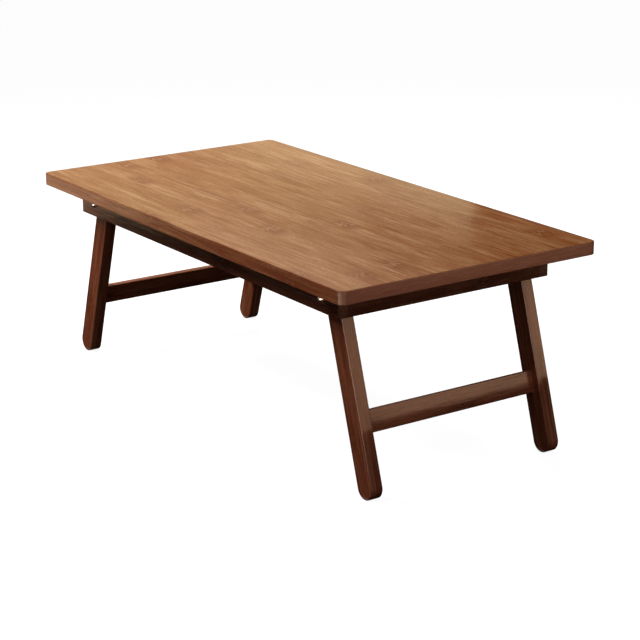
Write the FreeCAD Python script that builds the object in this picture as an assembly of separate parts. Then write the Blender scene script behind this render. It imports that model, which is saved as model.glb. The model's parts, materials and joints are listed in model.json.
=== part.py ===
import FreeCAD, Part
import math
import os

# A low folding table: a laminated board on an apron frame, and two splayed leg frames that
# fold up inside the apron. Lengths are in millimetres and angles in degrees.
# +X runs along the long side, -Y is the front, +Z is up, and the origin is the middle of the
# floor under the board.

# Board
top_length = 760.0
top_width = 400.0
top_thickness = 17.5
top_corner_radius = 9.0
top_arris = 1.2
underside_arris = 0.8
table_height = 280.0

# Apron frame
end_overhang = 54.0
side_overhang = 34.5
apron_height = 36.0
long_rail_thickness = 13.5
end_rail_thickness = 14.5
rail_arris = 0.8

# Leg frames
splay_angle = 17.0
leg_width = 30.5
leg_thickness = 17.5
leg_arris = 1.5
leg_head_clearance = 3.0
leg_stop_clearance = 0.3
leg_side_play = 0.15
stretcher_height = 29.5
stretcher_thickness = 8.0
stretcher_arris = 1.2
stretcher_rise = 80.0

# Stretcher joints
tenon_cheek = 1.2
tenon_edge_shoulder = 3.5
mortise_floor = 6.0
mortise_end_gap = 0.5
glue_gap = 0.05

# Pivot hardware
bolt_diameter = 6.0
bolt_head_diameter = 9.0
bolt_head_height = 4.6
bolt_head_rim = 0.6
bolt_socket_width = 4.0
bolt_socket_depth = 2.2
bolt_end_projection = 1.5
bolt_end_chamfer = 0.6
bolt_hole_clearance = 0.1
bolt_running_clearance = 0.06
spacer_diameter = 16.0
spacer_thickness = 1.0
washer_diameter = 12.0
washer_thickness = 1.6
nut_width = 10.0
nut_height = 6.0
nut_collar_height = 1.6
nut_collar_inset = 0.7
nut_corner_chamfer = 0.9

# Screws that hold the board down
screw_diameter = 4.0
screw_head_diameter = 7.5
screw_head_height = 2.6
screw_bite = 12.0
screw_tip_length = 3.0
screw_counterbore_depth = 18.0
screw_hole_clearance = 0.15
screw_pilot_clearance = 0.05
screw_pilot_extra = 0.5
screw_head_clearance = 0.25
long_rail_screw_shares = (-0.38, 0.0, 0.38)
end_rail_screw_shares = (-0.3, 0.3)

# Dowels in the corners of the apron
dowel_diameter = 6.0
dowel_spacing = 17.0
dowel_reach = 18.5
dowel_cover = 4.5
dowel_end_gap = 0.5

# Every cutter runs past the face that it cuts by this much, and edges are looked up to within
# the tolerance.
overrun = 1.0
edge_tolerance = 0.1

# Heights
top_bottom_z = table_height - top_thickness
apron_bottom_z = top_bottom_z - apron_height
apron_middle_z = apron_bottom_z + apron_height / 2

# Places along the length and the width
rail_end_x = top_length / 2 - end_overhang
end_rail_inner_x = rail_end_x - end_rail_thickness
rail_outer_y = top_width / 2 - side_overhang
rail_inner_y = rail_outer_y - long_rail_thickness
leg_outer_y = rail_inner_y - spacer_thickness - leg_side_play
leg_inner_y = leg_outer_y - leg_thickness
washer_y = leg_inner_y - leg_side_play
nut_y = washer_y - washer_thickness
bolt_end_y = nut_y - nut_height - bolt_end_projection

# The pivot. The round head of the leg turns just under the board. The leg frame splays until
# the outer edge of each leg meets the eased lower edge of the end rail, which is its stop.
leg_radius = leg_width / 2
splay = math.radians(splay_angle)
pivot_z = top_bottom_z - leg_radius - leg_head_clearance
stop_drop = pivot_z - apron_bottom_z - rail_arris
stop_reach = leg_radius + rail_arris + leg_stop_clearance + stop_drop * math.sin(splay)
pivot_x = end_rail_inner_x + rail_arris - stop_reach / math.cos(splay)
leg_span = (pivot_z - leg_radius) / math.cos(splay)

# The stretcher, measured down the leg from the pivot
stretcher_centre = stretcher_rise - leg_span
tenon_thickness = stretcher_thickness - 2 * tenon_cheek
tenon_height = stretcher_height - 2 * tenon_edge_shoulder
mortise_depth = leg_thickness - mortise_floor
tenon_length = mortise_depth - mortise_end_gap

X_AXIS = FreeCAD.Vector(1, 0, 0)
Y_AXIS = FreeCAD.Vector(0, 1, 0)
Z_AXIS = FreeCAD.Vector(0, 0, 1)
ORIGIN = FreeCAD.Vector(0, 0, 0)

ENDS = {"left": -1, "right": 1}
SIDES = {"front": -1, "back": 1}


def point(x, y, z):
    return FreeCAD.Vector(x, y, z)


def block(low, high):
    """Box between two opposite corners."""
    size = high - low
    return Part.makeBox(size.x, size.y, size.z, low)


def rod(diameter, start, end):
    """Cylinder between two points."""
    run = end - start
    return Part.makeCylinder(diameter / 2, run.Length, start, run)


def edges_along(shape, axis):
    """Straight edges that are parallel to an axis."""
    found = []
    for edge in shape.Edges:
        run = edge.Vertexes[-1].Point - edge.Vertexes[0].Point
        if abs(run.dot(axis)) > run.Length * math.cos(math.radians(1)):
            found.append(edge)
    return found


def edges_near(edges, direction, place):
    """Edges whose middle lies at a place along a direction."""
    near = []
    for edge in edges:
        if abs(edge.CenterOfMass.dot(direction) - place) < edge_tolerance:
            near.append(edge)
    return near


def turned(stations, start, axis):
    """Solid turned about an axis at start.

    A station is (radius, height), or (radius, height, through_radius, through_height) where
    an arc leads to it from the station before.
    """
    foot = point(0, 0, stations[0][1])
    head = point(0, 0, stations[-1][1])
    edges = []
    last = foot
    for station in stations:
        here = point(station[0], 0, station[1])
        if len(station) == 4:
            through = point(station[2], 0, station[3])
            edges.append(Part.Arc(last, through, here).toShape())
        else:
            edges.append(Part.makeLine(last, here))
        last = here
    if (head - last).Length > 0:
        edges.append(Part.makeLine(last, head))
    edges.append(Part.makeLine(head, foot))
    solid = Part.Face(Part.Wire(edges)).revolve(ORIGIN, Z_AXIS, 360)
    solid.Placement = FreeCAD.Placement(start, FreeCAD.Rotation(Z_AXIS, axis))
    return solid


def obround(width, span, depth, top_z, near_y):
    """Bar with round ends, its ends' centres span apart down from top_z, depth along +Y."""
    radius = width / 2
    foot_z = top_z - span
    left_top = point(-radius, near_y, top_z)
    left_foot = point(-radius, near_y, foot_z)
    right_foot = point(radius, near_y, foot_z)
    right_top = point(radius, near_y, top_z)
    outline = [
        Part.makeLine(left_top, left_foot),
        Part.Arc(left_foot, point(0, near_y, foot_z - radius), right_foot).toShape(),
        Part.makeLine(right_foot, right_top),
        Part.Arc(right_top, point(0, near_y, top_z + radius), left_top).toShape(),
    ]
    return Part.Face(Part.Wire(outline)).extrude(Y_AXIS * depth)


def tenon(gap, near_y, depth):
    """Round-ended tenon, or its mortise when gap is more than nothing, in the leg's frame."""
    width = tenon_thickness + 2 * gap
    span = tenon_height - tenon_thickness
    return obround(width, span, depth, stretcher_centre + span / 2, near_y)


def splayed(shape, end):
    """Turn a piece from the leg's own frame to its splay and carry it to its pivot."""
    placed = shape.copy()
    placed.rotate(ORIGIN, Y_AXIS, -end * splay_angle)
    placed.translate(point(end * pivot_x, 0, pivot_z))
    return placed


def screw_places():
    """Middle of each board screw, in plan."""
    rail_middle_y = rail_outer_y - long_rail_thickness / 2
    rail_middle_x = rail_end_x - end_rail_thickness / 2
    places = []
    for side in SIDES.values():
        for share in long_rail_screw_shares:
            places.append((share * 2 * rail_end_x, side * rail_middle_y))
    for end in ENDS.values():
        for share in end_rail_screw_shares:
            places.append((end * rail_middle_x, share * 2 * rail_inner_y))
    return places


def dowel_places():
    """End and side sign and height of each corner dowel."""
    places = []
    for end in ENDS.values():
        for side in SIDES.values():
            for step in (-1, 1):
                places.append((end, side, apron_middle_z + step * dowel_spacing / 2))
    return places


def dowel_ends(end, side, height, end_gap):
    """The two ends of a dowel, or of its hole when end_gap is nothing."""
    x = end * (rail_end_x - end_rail_thickness / 2)
    outer_y = rail_outer_y - dowel_cover - end_gap
    inner_y = rail_inner_y - dowel_reach + end_gap
    return point(x, side * outer_y, height), point(x, side * inner_y, height)


def board_top():
    """The board: rounded corners, eased edges and blind pilot holes underneath."""
    corner = point(-top_length / 2, -top_width / 2, top_bottom_z)
    board = Part.makeBox(top_length, top_width, top_thickness, corner)
    board = board.makeFillet(top_corner_radius, edges_along(board, Z_AXIS))
    board = board.makeFillet(top_arris, edges_near(board.Edges, Z_AXIS, table_height))
    board = board.makeFillet(underside_arris, edges_near(board.Edges, Z_AXIS, top_bottom_z))
    hole = screw_diameter + 2 * screw_pilot_clearance
    for x, y in screw_places():
        low = point(x, y, top_bottom_z - overrun)
        high = point(x, y, top_bottom_z + screw_bite + screw_pilot_extra)
        board = board.cut(rod(hole, low, high))
    return board


def screw_holes():
    """Clearance hole and counterbore of every board screw, as cutters."""
    cutters = []
    seat_z = apron_bottom_z + screw_counterbore_depth
    for x, y in screw_places():
        bottom = point(x, y, apron_bottom_z - overrun)
        seat = point(x, y, seat_z)
        top = point(x, y, top_bottom_z + overrun)
        cutters.append(rod(screw_head_diameter + 2 * screw_head_clearance, bottom, seat))
        cutters.append(rod(screw_diameter + 2 * screw_hole_clearance, bottom, top))
    return cutters


def dowel_holes():
    """Both halves of every dowel hole, as cutters."""
    cutters = []
    for end, side, height in dowel_places():
        outer, inner = dowel_ends(end, side, height, 0)
        cutters.append(rod(dowel_diameter + 2 * glue_gap, outer, inner))
    return cutters


def bored(rail):
    """Rail with the screw and dowel holes that reach it."""
    for cutter in screw_holes() + dowel_holes():
        if rail.BoundBox.intersect(cutter.BoundBox):
            rail = rail.cut(cutter)
    return rail


def long_rail(side):
    """Rail along a long side, through to the end faces, with its two bolt holes."""
    outer = side * rail_outer_y
    inner = side * rail_inner_y
    low = point(-rail_end_x, min(outer, inner), apron_bottom_z)
    rail = block(low, point(rail_end_x, max(outer, inner), top_bottom_z))
    eased = edges_near(edges_along(rail, X_AXIS), Z_AXIS, apron_bottom_z)
    eased += edges_near(edges_along(rail, Z_AXIS), Y_AXIS, outer)
    rail = rail.makeFillet(rail_arris, eased)
    for end in ENDS.values():
        start = point(end * pivot_x, side * (rail_outer_y + overrun), pivot_z)
        stop = point(end * pivot_x, side * (rail_inner_y - overrun), pivot_z)
        rail = rail.cut(rod(bolt_diameter + 2 * bolt_hole_clearance, start, stop))
    return bored(rail)


def end_rail(end):
    """Rail across an end, between the long rails. Its lower inner edge stops the legs."""
    outer = end * rail_end_x
    inner = end * end_rail_inner_x
    low = point(min(outer, inner), -rail_inner_y, apron_bottom_z)
    rail = block(low, point(max(outer, inner), rail_inner_y, top_bottom_z))
    eased = edges_near(edges_along(rail, Y_AXIS), Z_AXIS, apron_bottom_z)
    return bored(rail.makeFillet(rail_arris, eased))


def leg(end, side):
    """Flat leg with round ends, bored for the pivot and mortised for the stretcher."""
    near_y = min(side * leg_outer_y, side * leg_inner_y)
    far_y = near_y + leg_thickness
    bar = obround(leg_width, leg_span, leg_thickness, 0, near_y)
    eased = edges_near(bar.Edges, Y_AXIS, near_y)
    eased += edges_near(bar.Edges, Y_AXIS, far_y)
    bar = bar.makeFillet(leg_arris, eased)
    hole = bolt_diameter + 2 * bolt_running_clearance
    bar = bar.cut(rod(hole, point(0, near_y - overrun, 0), point(0, far_y + overrun, 0)))
    mouth_y = side * (leg_inner_y - overrun)
    deep_y = side * (leg_inner_y + mortise_depth)
    mortise = tenon(glue_gap, min(mouth_y, deep_y), mortise_depth + overrun)
    return splayed(bar.cut(mortise), end)


def stretcher(end):
    """Thin bar between two legs, with a round-ended tenon at each end."""
    low = point(-stretcher_thickness / 2, -leg_inner_y, stretcher_centre - stretcher_height / 2)
    high = point(stretcher_thickness / 2, leg_inner_y, stretcher_centre + stretcher_height / 2)
    bar = block(low, high)
    bar = bar.makeFillet(stretcher_arris, edges_along(bar, Y_AXIS))
    bar = bar.fuse(tenon(0, -leg_inner_y - tenon_length, 2 * (leg_inner_y + tenon_length)))
    return splayed(bar.removeSplitter(), end)


def hex_bar(width, start, run):
    """Six-sided bar by its width across flats, from start along a run parallel to Y."""
    corner = width / 2 / math.cos(math.radians(30))
    corners = []
    for step in range(7):
        angle = math.radians(60 * step)
        corners.append(start + point(corner * math.cos(angle), 0, corner * math.sin(angle)))
    return Part.Face(Part.makePolygon(corners)).extrude(run)


def pivot_bolt(end, side):
    """Round-head bolt through rail and leg, with a hexagon socket in its domed head."""
    shank = bolt_diameter / 2
    head = bolt_head_diameter / 2
    cap = bolt_head_height - bolt_head_rim
    sphere = (head * head + cap * cap) / (2 * cap)
    mid_radius = head / 2
    mid_height = cap - sphere + math.sqrt(sphere * sphere - mid_radius * mid_radius)
    length = rail_outer_y - bolt_end_y
    stations = [
        (shank - bolt_end_chamfer, -length),
        (shank, bolt_end_chamfer - length),
        (shank, 0),
        (head, 0),
        (head, bolt_head_rim),
        (0, bolt_head_height, mid_radius, bolt_head_rim + mid_height),
    ]
    seat = point(end * pivot_x, side * rail_outer_y, pivot_z)
    outward = Y_AXIS * side
    mouth = seat + outward * (bolt_head_height + overrun)
    socket = hex_bar(bolt_socket_width, mouth, outward * -(bolt_socket_depth + overrun))
    return turned(stations, seat, outward).cut(socket)


def ring(diameter, thickness, end, side, outer_y):
    """Flat washer on a pivot bolt, from outer_y inwards."""
    start = point(end * pivot_x, side * outer_y, pivot_z)
    stop = point(end * pivot_x, side * (outer_y - thickness), pivot_z)
    past = Y_AXIS * side * overrun
    hole = bolt_diameter + 2 * bolt_hole_clearance
    return rod(diameter, start, stop).cut(rod(hole, start + past, stop - past))


def lock_nut(end, side):
    """Hexagon nut with chamfered corners and the round collar of its locking insert."""
    hex_height = nut_height - nut_collar_height
    rim = nut_width / 2
    corner = rim / math.cos(math.radians(30))
    stations = [
        (rim, 0),
        (corner, nut_corner_chamfer),
        (corner, hex_height - nut_corner_chamfer),
        (rim - nut_collar_inset, hex_height),
        (rim - nut_collar_inset, nut_height),
    ]
    start = point(end * pivot_x, side * nut_y, pivot_z)
    envelope = turned(stations, start, Y_AXIS * -side)
    prism = hex_bar(nut_width, start, Y_AXIS * -side * nut_height)
    past = Y_AXIS * side * overrun
    stop = start - Y_AXIS * side * nut_height
    hole = bolt_diameter + 2 * bolt_hole_clearance
    return envelope.common(prism).cut(rod(hole, start + past, stop - past))


def board_screw(x, y):
    """Cheese-head screw seated in its counterbore, its point in the board."""
    length = apron_height - screw_counterbore_depth + screw_bite
    shank = screw_diameter / 2
    head = screw_head_diameter / 2
    stations = [
        (head, -screw_head_height),
        (head, 0),
        (shank, 0),
        (shank, length - screw_tip_length),
        (0, length),
    ]
    return turned(stations, point(x, y, apron_bottom_z + screw_counterbore_depth), Z_AXIS)


def dowel(end, side, height):
    """Plain round dowel."""
    outer, inner = dowel_ends(end, side, height, dowel_end_gap)
    return rod(dowel_diameter, outer, inner)


def build():
    """Every piece of the table by its name."""
    parts = {"table_top": board_top()}
    for side_name, side in SIDES.items():
        parts[side_name + "_rail"] = long_rail(side)
    for end_name, end in ENDS.items():
        parts[end_name + "_end_rail"] = end_rail(end)
        parts[end_name + "_stretcher"] = stretcher(end)
        for side_name, side in SIDES.items():
            place = side_name + "_" + end_name
            parts[place + "_leg"] = leg(end, side)
            parts[place + "_pivot_bolt"] = pivot_bolt(end, side)
            parts[place + "_spacer"] = ring(spacer_diameter, spacer_thickness, end, side, rail_inner_y)
            parts[place + "_washer"] = ring(washer_diameter, washer_thickness, end, side, washer_y)
            parts[place + "_lock_nut"] = lock_nut(end, side)
    parts["board_screws"] = Part.makeCompound([board_screw(x, y) for x, y in screw_places()])
    parts["rail_dowels"] = Part.makeCompound([dowel(*place) for place in dowel_places()])
    return parts


def main():
    os.makedirs("parts", exist_ok=True)
    for name, shape in build().items():
        box = shape.BoundBox
        size = "%.2f x %.2f x %.2f" % (box.XLength, box.YLength, box.ZLength)
        print(name, len(shape.Solids), shape.isValid(), round(shape.Volume, 1), size)
        shape.exportStep("parts/" + name + ".step")
    print("pivot x %.3f z %.3f, leg span %.3f" % (pivot_x, pivot_z, leg_span))


main()
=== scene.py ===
"""Looks of the folding low table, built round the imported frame.

Every piece is in metres in the frame's own axes: +X runs along the long side of the board, -Y is
the front and +Z is up, with the origin on the floor under the middle of the board.
"""
import json
import logging
import math
from collections.abc import Iterable, Sequence
from dataclasses import dataclass
from enum import Enum
from typing import Any

import bpy
from mathutils import Euler, Matrix, Vector


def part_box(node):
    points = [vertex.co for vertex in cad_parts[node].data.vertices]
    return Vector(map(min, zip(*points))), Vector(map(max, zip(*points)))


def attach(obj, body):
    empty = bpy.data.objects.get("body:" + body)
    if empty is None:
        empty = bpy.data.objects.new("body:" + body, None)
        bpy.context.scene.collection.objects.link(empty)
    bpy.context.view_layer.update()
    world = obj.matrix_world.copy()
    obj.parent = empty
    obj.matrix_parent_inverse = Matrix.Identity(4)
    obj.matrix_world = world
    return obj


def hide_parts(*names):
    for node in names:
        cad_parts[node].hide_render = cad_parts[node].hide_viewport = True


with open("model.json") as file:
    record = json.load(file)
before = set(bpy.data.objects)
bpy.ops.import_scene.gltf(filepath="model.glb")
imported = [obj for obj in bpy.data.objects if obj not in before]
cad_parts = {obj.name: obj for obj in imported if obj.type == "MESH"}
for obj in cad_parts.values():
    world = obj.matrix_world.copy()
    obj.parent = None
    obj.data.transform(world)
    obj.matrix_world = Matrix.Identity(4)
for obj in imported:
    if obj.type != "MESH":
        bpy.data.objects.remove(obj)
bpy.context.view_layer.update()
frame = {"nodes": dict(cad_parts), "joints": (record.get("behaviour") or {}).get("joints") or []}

HEXAGON_HALF = math.radians(30.0)
UNCUT = 1.0
BACKWARDS = Vector((0.0, 1.0, 0.0))
UPWARDS = Vector((0.0, 0.0, 1.0))
LOG = logging.getLogger("folding_table")

Colour = tuple[float, float, float]
Point = tuple[float, float, float]
Station = tuple[float, float]
Piece = bpy.types.Object
Material = bpy.types.Material
Node = bpy.types.Node
Socket = bpy.types.NodeSocket


class Way(Enum):
    """A direction that parts are named after, with its sign along its axis."""

    @property
    def label(self) -> str:
        """The direction's name as the frame's nodes spell it."""
        return self.name.lower()


class End(Way):
    """The two ends of the table, along X."""

    LEFT = -1
    RIGHT = 1


class Side(Way):
    """The two long sides of the table, along Y."""

    FRONT = -1
    BACK = 1


def corner_nodes(kind: str) -> list[str]:
    """The four nodes of a kind of piece that every pivot has."""
    return [f"{side.label}_{end.label}_{kind}" for side in Side for end in End]


def box_size(node: str) -> Vector:
    """Size of a node's box along X, Y and Z."""
    low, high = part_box(node)
    return high - low


def box_middle(node: str) -> Vector:
    """Middle of a node's box."""
    low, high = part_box(node)
    return (low + high) / 2


def pivot(end: End, y: float = 0.0) -> Vector:
    """A point on an end's folding axis.

    Args:
        end: the end whose legs turn there.
        y: how far towards the back the point lies.

    Returns:
        The point.
    """
    for joint in frame["joints"]:
        if joint["name"].startswith(end.label):
            x, _, z = joint["pos_m"]
            return Vector((x, y, z))
    raise LookupError(f"no joint for the {end.label} end")


class Sheet:
    """A node tree being drawn up, with short calls that add, set and link nodes."""

    def __init__(self, tree: bpy.types.NodeTree) -> None:
        """Keep the tree that the calls add to."""
        self.tree = tree

    def node(self, kind: str, inputs: dict[str | int, Any] | None = None, **options: Any) -> Node:
        """Add a node.

        Args:
            kind: the type name of the node.
            inputs: what each socket gets, by name or number: a value, a socket or a node.
            options: the node's own settings.

        Returns:
            The node.
        """
        made = self.tree.nodes.new(kind)
        for name, value in options.items():
            setattr(made, name, value)
        for key, value in (inputs or {}).items():
            self.feed(made.inputs[key], value)
        return made

    def geometry(self, kind: str, inputs: dict[str | int, Any] | None = None, **options: Any) -> Node:
        """Add a node of a Geometry Nodes tree."""
        return self.node("GeometryNode" + kind, inputs, **options)

    def feed(self, socket: Socket, value: Any) -> None:
        """Give a socket its value, or link it to another socket or to a node's first output.

        Args:
            socket: the input socket.
            value: a plain value, a socket, a node, or a list of sockets for a joined input. A
                colour may leave out its alpha.
        """
        if isinstance(value, Node):
            value = value.outputs[0]
        if isinstance(value, Socket):
            self.tree.links.new(value, socket)
        elif isinstance(value, list):
            for one in value:
                self.feed(socket, one)
        else:
            socket.default_value = (*value, 1.0) if socket.type == "RGBA" else value

    def sum(self, operation: str, *values: Any) -> Socket:
        """Work out one to three numbers or sockets with a Math node."""
        return self.node("ShaderNodeMath", dict(enumerate(values)), operation=operation).outputs[0]

    def off(self, value: Any, middle: Any) -> Socket:
        """How far a value lies from a middle, to either side."""
        return self.sum("ABSOLUTE", self.sum("SUBTRACT", value, middle))

    def weighed(self, start: Any, *shares: tuple[Any, float]) -> Any:
        """Add to a start each level's distance from one half, times its weight.

        Args:
            start: the value to start from.
            shares: pairs of a level and its weight.

        Returns:
            The sum's socket.
        """
        for level, weight in shares:
            start = self.sum("MULTIPLY_ADD", self.sum("SUBTRACT", level, 0.5), weight, start)
        return start

    def vector(self, operation: str, *values: Any) -> Socket:
        """Work out one or two vectors with a Vector Math node."""
        return self.node("ShaderNodeVectorMath", dict(enumerate(values)), operation=operation).outputs[0]

    def scaled(self, vector: Any, factor: float) -> Socket:
        """A vector times a number."""
        return self.node("ShaderNodeVectorMath", {0: vector, "Scale": factor}, operation="SCALE").outputs[0]

    def dot(self, first: Any, second: Any) -> Socket:
        """Dot product of two vectors."""
        made = self.node("ShaderNodeVectorMath", {0: first, 1: second}, operation="DOT_PRODUCT")
        return made.outputs["Value"]

    def smooth(self, value: Any, low: Any, high: Any, start: float = 0.0, stop: float = 1.0) -> Socket:
        """Ease a value from start to stop as it goes from low to high."""
        inputs = {"Value": value, "From Min": low, "From Max": high, "To Min": start, "To Max": stop}
        return self.node("ShaderNodeMapRange", inputs, interpolation_type="SMOOTHSTEP").outputs[0]

    def mix(self, share: Any, first: Any, second: Any, blend: str = "MIX") -> Socket:
        """Mix two colours by a share and return the result's socket."""
        made = self.node("ShaderNodeMix", {0: share, 6: first, 7: second}, data_type="RGBA", blend_type=blend)
        return made.outputs[2]

    def noise(self, place: Any, stretch: Point, detail: float = 2.0, shift: Any = None) -> Socket:
        """Noise with so many waves in a metre along each axis, moved by a shift.

        Args:
            place: the coordinates.
            stretch: waves in a metre along each axis.
            detail: how many finer levels it has.
            shift: what is added to the stretched place.

        Returns:
            The noise's socket, from 0 to 1.
        """
        moved = self.vector("MULTIPLY", place, stretch)
        if shift is not None:
            moved = self.vector("ADD", moved, shift)
        made = self.node("ShaderNodeTexNoise", {"Vector": moved, "Scale": 1.0, "Detail": detail})
        return made.outputs["Fac"]


@dataclass(frozen=True)
class Finish:
    """What every finish has: a name, and a start for its material's node tree."""

    name: str

    def begin(self, suffix: str = "") -> tuple[Material, Sheet, Node]:
        """Make an empty material with its shader.

        Args:
            suffix: what follows the finish's name in the material's.

        Returns:
            The material, its sheet and its shader node.
        """
        material = bpy.data.materials.new(self.name + suffix)
        material.use_nodes = True
        return material, Sheet(material.node_tree), material.node_tree.nodes["Principled BSDF"]

    def relief(self, sheet: Sheet, shader: Node, height: Any, depth: float) -> None:
        """Let a height raise the surface by up to a depth."""
        bump = sheet.node("ShaderNodeBump", {"Height": height, "Distance": depth, "Strength": 1.0})
        sheet.feed(shader.inputs["Normal"], bump.outputs["Normal"])


@dataclass(frozen=True)
class Grain:
    """One level of the wood's grain: its waves in a metre, its detail and how much it shades."""

    stretch: Point
    detail: float
    weight: float


@dataclass(frozen=True)
class Strip:
    """One strip of a piece: where a node of the cane lies on it, and how it looks.

    Places are shares of a metre from the piece's left end. Strength is how dark its node marks
    are, and tone how light the strip is.
    """

    node_at: float
    internode: float
    strength: float
    tone: float


@dataclass(frozen=True)
class Layout:
    """How strips are laid in a piece.

    The turn brings a piece's own axes to fibres, strips and plies. A strip's width lies along the
    second and a ply's thickness along the third. The strip shift moves the seams across, and the
    painted shade is how light the whole piece is beside others, standing in for the board's shadow on the
    rails.
    """

    turn: Point
    strip_width: float
    ply: float
    strips: tuple[Strip, ...] = ()
    strip_shift: float = 0.0
    stain: float = 1.0


@dataclass(frozen=True)
class Bamboo(Finish):
    """Stained strips of bamboo glued side by side, with fibres, node marks and end grain."""

    light: Colour
    middle: Colour
    dark: Colour
    streak: Colour
    node_halo: Colour
    node_band: Colour
    # A tint for faces that look sideways: painted shade on the board's sides.
    edge_tint: Colour
    end_tint: Colour
    internode: float
    roughness: float
    gloss: float
    strip_contrast: float
    fibre_depth: float = 0.0001

    # A strip's pattern is moved by up to so many waves. A ply's is moved by so many metres along
    # and by a share of a strip across, and its number adds a share to its columns' numbers.
    pattern_shift = 40.0
    ply_shift = 0.173
    ply_offset = 0.37
    ply_share = 0.13
    # Where no strips are listed, chance sets the distance between nodes and their marks' strength.
    internode_swing = 0.25
    internode_least = 0.85
    strength_chances = (0.2, 1.0)
    strength_span = (0.15, 0.9)
    # A stretch is waves in a metre along each axis, and a span is where a pattern fades in or out.
    streak_strength = 0.7
    streak_stretch = (2.4, 85.0, 85.0)
    streak_span = (0.004, 0.03)
    streaked_stretch = (4.0, 34.0, 34.0)
    streaked_span = (0.95, 1.15)
    seam_strength = 0.25
    seam_span = (0.455, 0.498)
    seam_patch_span = (0.4, 0.62)
    wander_stretch = (14.0, 260.0, 260.0)
    node_wander = 0.016
    fibre_stretch = (16.0, 520.0, 520.0)
    halo_reach = (0.055, 0.014)
    halo_shift = 0.004
    halo_core = 0.006
    band_strength = 0.65
    band_span = (0.004, 0.016)
    lens_span = (0.3, 0.5)
    speckle_stretch = (210.0, 320.0, 320.0)
    speckle_span = (0.44, 0.58)
    edge_facing_span = (0.3, 0.85)
    end_facing_span = (0.55, 0.9)
    end_stretch = (60.0, 22.0, 420.0)
    end_streak_weight = 1.1
    dot_stretch = (900.0, 900.0, 1100.0)
    dot_span = (0.6, 0.75)
    dot_weight = -0.2
    # How much each pattern adds to the height of the surface, and the grain to its roughness.
    streak_height = -0.3
    band_height = 0.5
    seam_height = -0.2
    roughness_swing = 0.1

    def dressed(self, layout: Layout, middle: Vector, suffix: str = "") -> Material:
        """Make the material for pieces with one layout of strips.

        Args:
            layout: how the strips lie.
            middle: the point that the layout is centred on.
            suffix: what follows the finish's name in the material's.

        Returns:
            The material.
        """
        material, sheet, shader = self.begin(suffix)
        turn = Euler(layout.turn)
        coordinates = sheet.node("ShaderNodeTexCoord")
        place = sheet.node("ShaderNodeMapping", {"Vector": coordinates.outputs["Object"], "Rotation": turn})
        sheet.feed(place.inputs["Location"], -(turn.to_matrix() @ middle))
        facing = sheet.node("ShaderNodeMapping", {"Vector": coordinates.outputs["Normal"], "Rotation": turn})
        along, across, through = sheet.node("ShaderNodeSeparateXYZ", {0: place}).outputs
        facing = sheet.vector("ABSOLUTE", facing)
        end_facing, _, face_facing = sheet.node("ShaderNodeSeparateXYZ", {0: facing}).outputs
        column, share, ply = self.strip_of(sheet, layout, across, through)
        fate = sheet.node("ShaderNodeTexWhiteNoise", {"W": column}, noise_dimensions="1D")
        traits = self.strip_traits(sheet, layout, column, fate)
        shift = sheet.scaled(fate.outputs["Color"], self.pattern_shift)

        levels = [sheet.noise(place, grain.stretch, grain.detail, shift) for grain in GRAINS]
        fine, broad, drift, _ = levels
        shades = [(level, grain.weight) for level, grain in zip(levels, GRAINS)]
        colour = self.ramp(sheet, sheet.weighed(0.5, *shades, (traits[3], self.strip_contrast)))

        streaks = self.streaks(sheet, place, shift, drift)
        colour = sheet.mix(sheet.sum("MULTIPLY", streaks, self.streak_strength), colour, self.streak)
        seam = sheet.smooth(sheet.off(share, 0.5), *self.seam_span)
        seam = sheet.sum("MULTIPLY", seam, sheet.smooth(broad, *self.seam_patch_span))
        colour = sheet.mix(sheet.sum("MULTIPLY", seam, self.seam_strength), colour, self.streak)

        shifted = sheet.sum("MULTIPLY_ADD", ply, self.ply_shift, along)
        halo, band = self.node_marks(sheet, place, shifted, share, traits)
        colour = sheet.mix(halo, colour, self.node_halo)
        speckle = sheet.smooth(sheet.noise(place, self.speckle_stretch), *self.speckle_span)
        colour = sheet.mix(band, colour, sheet.mix(speckle, self.streak, self.node_band))

        # Painted shade: faces that look sideways rather than up or down are darkened and reddened by the side
        # tint.
        edge = sheet.smooth(face_facing, *self.edge_facing_span, 1.0, 0.0)
        colour = sheet.mix(edge, colour, self.edge_tint, "MULTIPLY")
        end = sheet.smooth(end_facing, *self.end_facing_span)
        colour = sheet.mix(end, colour, self.end_grain(sheet, place, shift))
        # Painted shade: the whole piece is darkened by one factor, standing in for the board's shadow on it.
        colour = sheet.mix(1.0, colour, (layout.stain,) * 3, "MULTIPLY")
        sheet.feed(shader.inputs["Base Color"], colour)

        swings = [(level, self.roughness_swing) for level in (fine, end)]
        sheet.feed(shader.inputs["Roughness"], sheet.weighed(self.roughness, *swings))
        shader.inputs["Specular IOR Level"].default_value = self.gloss
        heights = ((streaks, self.streak_height), (band, self.band_height), (seam, self.seam_height))
        self.relief(sheet, shader, sheet.weighed(fine, *heights), self.fibre_depth)
        return material

    def strip_of(self, sheet: Sheet, layout: Layout, across: Any, through: Any) -> tuple[Any, Any, Any]:
        """Number the strip that a point lies in.

        Args:
            sheet: the material's sheet.
            layout: how the strips lie.
            across: the coordinate across the strips.
            through: the coordinate through the plies.

        Returns:
            The strip's number with a share for its ply, the point's share of the strip's width
            and the ply's number.
        """
        ply = sheet.sum("FLOOR", sheet.sum("DIVIDE", through, layout.ply))
        offset = sheet.sum("MULTIPLY_ADD", ply, self.ply_offset * layout.strip_width, across)
        width = sheet.sum("DIVIDE", sheet.sum("ADD", offset, layout.strip_shift), layout.strip_width)
        column = sheet.sum("MULTIPLY_ADD", ply, self.ply_share, sheet.sum("FLOOR", width))
        return column, sheet.sum("FRACT", width), ply

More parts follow.
